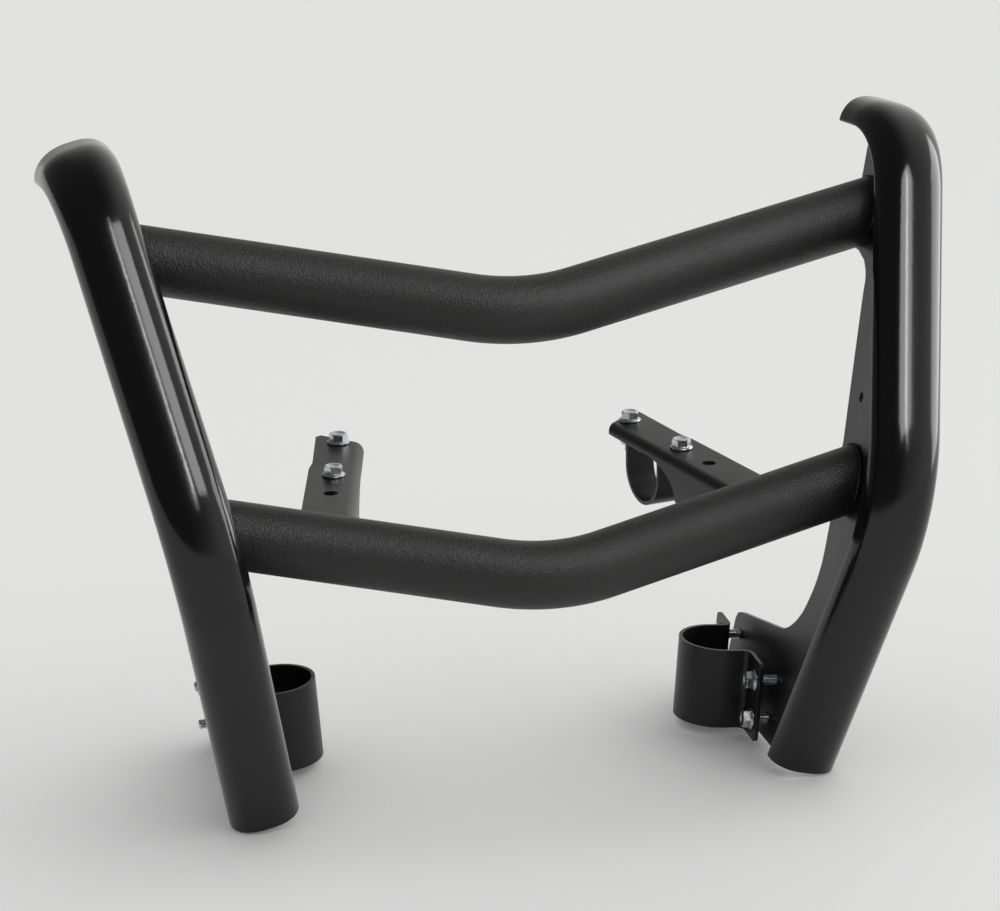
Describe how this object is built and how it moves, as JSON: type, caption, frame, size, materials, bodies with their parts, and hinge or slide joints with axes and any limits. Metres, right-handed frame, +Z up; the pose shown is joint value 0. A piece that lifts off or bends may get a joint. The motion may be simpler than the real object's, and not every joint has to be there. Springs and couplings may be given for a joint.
{
  "type": "front grille guard",
  "caption": "Black tubular front grille guard: two bowed crossbars between D-section uprights on flat side plates, with strap clamps that grip the vehicle.",
  "frame": {"origin": "midway between the two bumper brackets, on the level of the tubes their straps grip", "axes": "+X to the right seen from in front, +Y towards the vehicle, +Z up"},
  "size_m": [0.697, 0.2897, 0.5049],
  "materials": {
    "wrinkle_black": "textured matte powder coat",
    "gloss_black": "smooth semi-gloss powder coat",
    "satin_black": "satin powder coat",
    "zinc": "bright zinc plating"
  },
  "bodies": {
    "guard": {"left_bracket_bolt_front": "zinc", "left_bracket_bolt_rear": "zinc", "left_bumper_bracket": "satin_black", "left_foot_nut_front_lower": "zinc", "left_foot_nut_front_upper": "zinc", "left_foot_nut_rear_lower": "zinc", "left_foot_nut_rear_upper": "zinc", "left_side_plate": "satin_black", "left_upright": "gloss_black", "lower_crossbar": "wrinkle_black", "right_bracket_bolt_front": "zinc", "right_bracket_bolt_rear": "zinc", "right_bumper_bracket": "satin_black", "right_foot_nut_front_lower": "zinc", "right_foot_nut_front_upper": "zinc", "right_foot_nut_rear_lower": "zinc", "right_foot_nut_rear_upper": "zinc", "right_side_plate": "satin_black", "right_upright": "gloss_black", "upper_crossbar": "wrinkle_black"},
    "left_foot_clamp": {"left_foot_bolt_front_lower": "zinc", "left_foot_bolt_front_upper": "zinc", "left_foot_bolt_rear_lower": "zinc", "left_foot_bolt_rear_upper": "zinc", "left_foot_clamp_strap": "satin_black"},
    "left_bracket_clamp": {"left_bracket_nut_front": "zinc", "left_bracket_nut_rear": "zinc", "left_bracket_strap": "satin_black"},
    "right_foot_clamp": {"right_foot_bolt_front_lower": "zinc", "right_foot_bolt_front_upper": "zinc", "right_foot_bolt_rear_lower": "zinc", "right_foot_bolt_rear_upper": "zinc", "right_foot_clamp_strap": "satin_black"},
    "right_bracket_clamp": {"right_bracket_nut_front": "zinc", "right_bracket_nut_rear": "zinc", "right_bracket_strap": "satin_black"}
  },
  "joints": [
    {"name": "left_foot_clamp_slide", "type": "slide", "parent": "guard", "child": "left_foot_clamp", "axis": [-0.9968, -0.0346, -0.0724], "range_m": [-0.004, 0]},
    {"name": "left_bracket_clamp_slide", "type": "slide", "parent": "guard", "child": "left_bracket_clamp", "axis": [0, 0, 1], "range_m": [-0.005, 0.0035]},
    {"name": "right_foot_clamp_slide", "type": "slide", "parent": "guard", "child": "right_foot_clamp", "axis": [0.9968, -0.0346, -0.0724], "range_m": [-0.004, 0.0065]},
    {"name": "right_bracket_clamp_slide", "type": "slide", "parent": "guard", "child": "right_bracket_clamp", "axis": [0, 0, 1], "range_m": [-0.005, 0.0035]}
  ]
}
